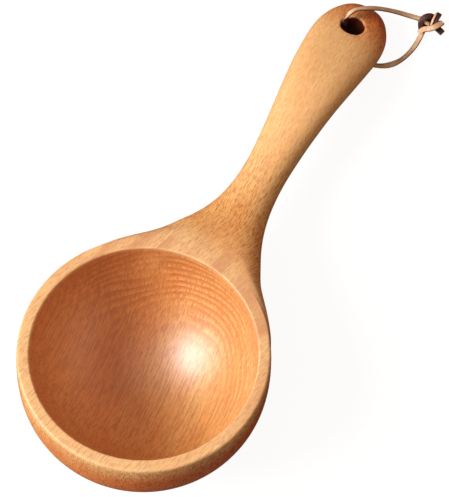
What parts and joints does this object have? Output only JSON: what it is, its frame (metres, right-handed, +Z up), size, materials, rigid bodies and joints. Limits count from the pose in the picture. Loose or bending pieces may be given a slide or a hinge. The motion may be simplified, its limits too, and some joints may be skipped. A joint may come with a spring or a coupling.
{
  "type": "ladle",
  "caption": "Wooden ladle: a deep round bowl with a flat rim, a waved handle that swells to a rounded end, and a knotted leather lace through the hanging hole.",
  "frame": {"origin": "middle of the ladle's outline on the table, without the lace", "axes": "+Z up from the table, +X from the bowl along the handle to its end"},
  "size_m": [0.3185, 0.1264, 0.0866],
  "materials": {
    "beech": "satin lacquer over pale beech with fine dark flecks",
    "lace": "plain tan leather, dark brown on its flesh side"
  },
  "bodies": {
    "root": {"ladle": "beech", "lace_loop": "lace", "lace_knot": "lace"}
  },
  "joints": []
}
